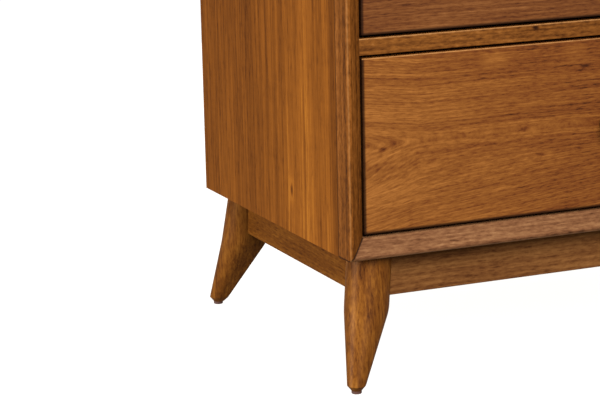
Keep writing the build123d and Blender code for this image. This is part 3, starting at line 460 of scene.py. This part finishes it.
def plated(name, tones, flake, roughness):
    """Zinc plated steel: crystals of flake millimetres under a thin passivated film.

    The real crystals would be too fine to show and are drawn coarser.
    """
    material, tree, surface = new_material(name)
    place = add_node(tree, "TexCoord", {}, out=3)
    point = add_node(tree, "VectorMath", {0: place, "Scale": 1000.0 / flake}, operation="SCALE")
    crystal = add_node(tree, "TexVoronoi", {"Vector": point, "Scale": 1.0}, out=1)
    grey = add_node(tree, "RGBToBW", {0: crystal})
    cloud = add_node(tree, "TexNoise", {"Vector": point, "Scale": 0.3, "Detail": 3.0})
    level = add_node(tree, "Math", {0: grey, 1: 0.5, 2: cloud}, operation="MULTIPLY_ADD")
    colour = add_node(tree, "ValToRGB", {0: level},
                      stops=[(DULLEST, tones[0]), (BRIGHTEST, tones[1])])
    dull = add_node(tree, "MapRange", {0: level, 1: DULLEST, 2: BRIGHTEST,
                                       3: roughness + 0.08, 4: roughness - 0.06})
    bump = add_node(tree, "Bump", {"Height": level, "Strength": 0.1, "Distance": 0.00002})
    skin = add_node(tree, "BsdfPrincipled", {"Base Color": colour, "Metallic": 1.0,
                                             "Roughness": dull, "Normal": bump})
    tree.links.new(skin, surface)
    return material


# Yellowish zinc plating: a small dull glint on each screw head.
screw_zinc = plated("zinc_plated_steel_screws", ("#8f8a78", "#c9c4b2"), 1.2, 0.34)
finish_with(screw_zinc, "back_panel_screws", "base_screws", "corner_block_screws",
            "case_slide_screws")

# ---- The drawer slides
# Folded strips of zinc plated steel in three nested channels, with rows of balls held in thin
# cages between them.

# Bluish zinc plating: a soft grey metal shine with a faint spangle.
slide_zinc = plated("zinc_plated_steel_slides", ("#85898c", "#9da2a5"), 4.0, 0.42)
finish_with(slide_zinc, "case_slides")
# Pressed sheet with small spangles: a shade brighter and shinier than the channels.
cage_zinc = plated("steel_ball_cages", ("#7d8082", "#a9adaf"), 1.5, 0.32)
for level in ("upper", "lower"):
    finish_with(slide_zinc, f"{level}_middle_slides", f"{level}_inner_slides")
    finish_with(screw_zinc, f"{level}_drawer_slide_screws", f"{level}_drawer_front_screws",
                f"{level}_knob_screw")
    finish_with(cage_zinc, f"{level}_outer_ball_cages", f"{level}_inner_ball_cages")

# ---- The legs
# Splayed, turned legs of solid walnut with two flats left at the inner corner, tapering from
# a knee to a chamfered foot. The stain lies darker in the short mottled grain.

# Solid walnut: mottled and golden where the curve catches the light.
LEG = ["#2a1306", "#4a270b", "#5f3610", "#744717", "#8c5a22"]
legs = {"leg_front_left": 83.0, "leg_front_right": 89.0, "leg_rear_left": 97.0,
        "leg_rear_right": 101.0}
for name, seed in legs.items():
    leg_wood = wood(
        f"solid_walnut_{name}", "zxy", LEG, seed, ring=6.0, wander=3.0, stripes=0.35,
        fine=2.6, mottle=0.28, fibre=0.3, cloud=0.2, roughness=0.4, gloss=0.04,
    )
    finish_with(leg_wood, name)

# ---- The aprons between the legs
# Planed walnut rails, stained and lacquered, dowelled into the legs' flats just under the
# case.

# Solid walnut: the front and rear aprons a greyer brown than the legs, and quite dull.
APRON = ["#2c160a", "#4d2c15", "#633e1f", "#78502a", "#906435"]
aprons = {"apron_front": ("xzy", APRON, 103.0), "apron_rear": ("xzy", APRON, 107.0),
          "apron_left": ("yzx", LEG, 109.0), "apron_right": ("yzx", LEG, 113.0)}
for name, (grain, tones, seed) in aprons.items():
    apron_wood = wood(
        f"solid_walnut_{name}", grain, tones, seed, ring=8.0, wander=5.0, stripes=0.3,
        fine=2.6, mottle=0.25, roughness=0.42, gloss=0.01,
    )
    finish_with(apron_wood, name)

# ---- Corner blocks, bolts and glides under the case
# Beech blocks across each corner, a bolt through each into the leg, and a nylon glide nailed
# into each foot.

# The same planed beech, its grain upright: pale, plain and dull.
beech_blocks = wood("beech_blocks", "zxy", BEECH, seed=127.0, ring=6.0, stripes=0.3, lines=0.05,
                    roughness=0.62, gloss=0.2)
finish_with(beech_blocks, "corner_blocks", "apron_dowels")
finish_with(screw_zinc, "leg_bolts", "leg_bolt_flange_nuts")

# Moulded nylon: dark reddish brown, fine-grained and half dull. The mould's grit is 0.1 mm on
# the real thing and drawn coarser here, since it would be too fine to show.
GRIT = 1.111  # millimetres
nylon, tree, surface = new_material("nylon_moulded_brown")
place = add_node(tree, "TexCoord", {}, out=3)
grit = add_node(tree, "TexNoise", {"Vector": place, "Scale": 1000 / GRIT, "Detail": 3.0})
shade = add_node(tree, "ValToRGB", {0: grit}, stops=[(0.35, "#3a1d12"), (0.65, "#4c281a")])
pitted = add_node(tree, "Bump", {"Height": grit, "Strength": 0.3, "Distance": 0.0001})
skin = add_node(tree, "BsdfPrincipled", {"Base Color": shade, "Roughness": 0.55, "IOR": 1.53,
                                         "Normal": pitted})
tree.links.new(skin, surface)
finish_with(nylon, "foot_glides")

# ---- The drawer boxes
# Dovetailed boxes of pale planed maple, clear lacquered, with a birch plywood bottom let into
# grooves.

# Planed maple: creamy, close and even, with a thin clear shine.
MAPLE = ["#8d6e43", "#a58556", "#b29465", "#bda072", "#c7ac80"]
boards = {"ends": ("xzy", 131.0, ("box_front", "box_back")),
          "sides": ("yzx", 137.0, ("left_side", "right_side"))}
for index, level in enumerate(("upper", "lower")):
    shift = 20.0 * index
    for name, (grain, seed, pieces) in boards.items():
        maple = wood(f"maple_{level}_box_{name}", grain, MAPLE, seed + shift, ring=10.0,
                     wander=8.0, stripes=0.35, dashes=0.1, roughness=0.5, gloss=0.3)
        finish_with(maple, *(f"{level}_drawer_{piece}" for piece in pieces))
    finish_with(plywood(f"birch_plywood_{level}_bottom", "xyz", BIRCH, 139.0 + shift),
                f"{level}_drawer_bottom")

# ---- The drawer fronts
# Flat-cut walnut veneer on solid core, its grain across the piece. The lower front has the tip of
# an oval at its left, with a few pin knots; the upper front is plainer and darker.

# Walnut veneer: busy fine dashes, paler and more golden at the left, with a low sheen.
FRONT_WALNUT = ["#30160a", "#5c3013", "#70421a", "#865324", "#9c6630"]
UPPER_WALNUT = ["#2a130a", "#4c2813", "#5e3619", "#6d4322", "#82532d"]
lower_front_low, lower_front_high = box_mm("lower_drawer_front")
upper_front_low, upper_front_high = box_mm("upper_drawer_front")
# Painted shade deepens the gaps: both ends and the lower edge of each front are darkened almost
# to black, partly as end grain that drinks the stain. The upper edge gets a painted highlight.
GAP_SHADE_AND_END_GRAIN = (1.5, 0.9)  # half width and darkness of the painted gap shade and dark end grain
FRONT_HIGHLIGHT = (1.8, 0.95)  # reach and strength of the painted highlight on the upper edge
front_end_gap_shades = [((1, 0, 0), lower_front_low.x, *GAP_SHADE_AND_END_GRAIN),
              ((1, 0, 0), lower_front_high.x, *GAP_SHADE_AND_END_GRAIN)]
lower_front = wood(
    "walnut_veneer_lower_front", "xzy", FRONT_WALNUT, seed=151.0, ring=5.0, wander=4.0,
    stripes=0.3, lines=0.14, fine=2.0, fibre=0.32, dashes=0.36, cloud=0.1, ripple=0.03,
    shades=[("along", LEFT + 30, LEFT + 330, 0.12, -0.12),
            ("across", BASE + 120, BASE + 225, 0.0, -0.1)],
    lean=(BASE + 129, BASE + 70, 0.09),
    heart=(LEFT - 60, BASE + 129, 0.12, 6, LEFT + 95),
    knots=[(LEFT + 50, BASE + 122.6, 2.6, 0.4), (LEFT + 187, BASE + 222.6, 2.4, 0.2),
           (LEFT + 194, BASE + 214, 9.0, -0.3), (LEFT + 311.7, BASE + 196, 2.4, 0.3),
           (LEFT + 300, BASE + 215, 9.0, -0.16), (LEFT + 232, BASE + 129, 2.8, 0.25),
           (LEFT + 251, BASE + 97, 2.6, 0.2)],
    joints=[*front_end_gap_shades, ((0, 0, 1), lower_front_low.z, *GAP_SHADE_AND_END_GRAIN)],
    arris_highlights=[((0, lower_front_low.y, lower_front_high.z), (0, 1, 1), *FRONT_HIGHLIGHT)], pores=0.06,
)
upper_front = wood(
    "walnut_veneer_upper_front", "xzy", UPPER_WALNUT, seed=157.0, ring=5.0, wander=4.0,
    stripes=0.38, lines=0.12, fine=2.3, fibre=0.36, dashes=0.42, ripple=0.03,
    joints=[*front_end_gap_shades, ((0, 0, 1), upper_front_low.z, *GAP_SHADE_AND_END_GRAIN)],
    arris_highlights=[((0, upper_front_low.y, upper_front_high.z), (0, 1, 1), *FRONT_HIGHLIGHT)], pores=0.06,
)
finish_with(lower_front, "lower_drawer_front")
finish_with(upper_front, "upper_drawer_front")

# ---- The knobs
# Turned from solid walnut on the lathe, the grain running through to the wall, and stained a
# little darker than the fronts.

# Solid walnut: fine-grained and smooth, with a brighter highlight than the other wood.
for index, level in enumerate(("upper", "lower")):
    knob_walnut = wood(f"turned_walnut_{level}_knob", "yxz", LEG, seed=163.0 + 6 * index,
                       ring=3.0, wander=1.5, stripes=0.4, mottle=0.1, roughness=0.34, gloss=0.5)
    finish_with(knob_walnut, f"{level}_knob")
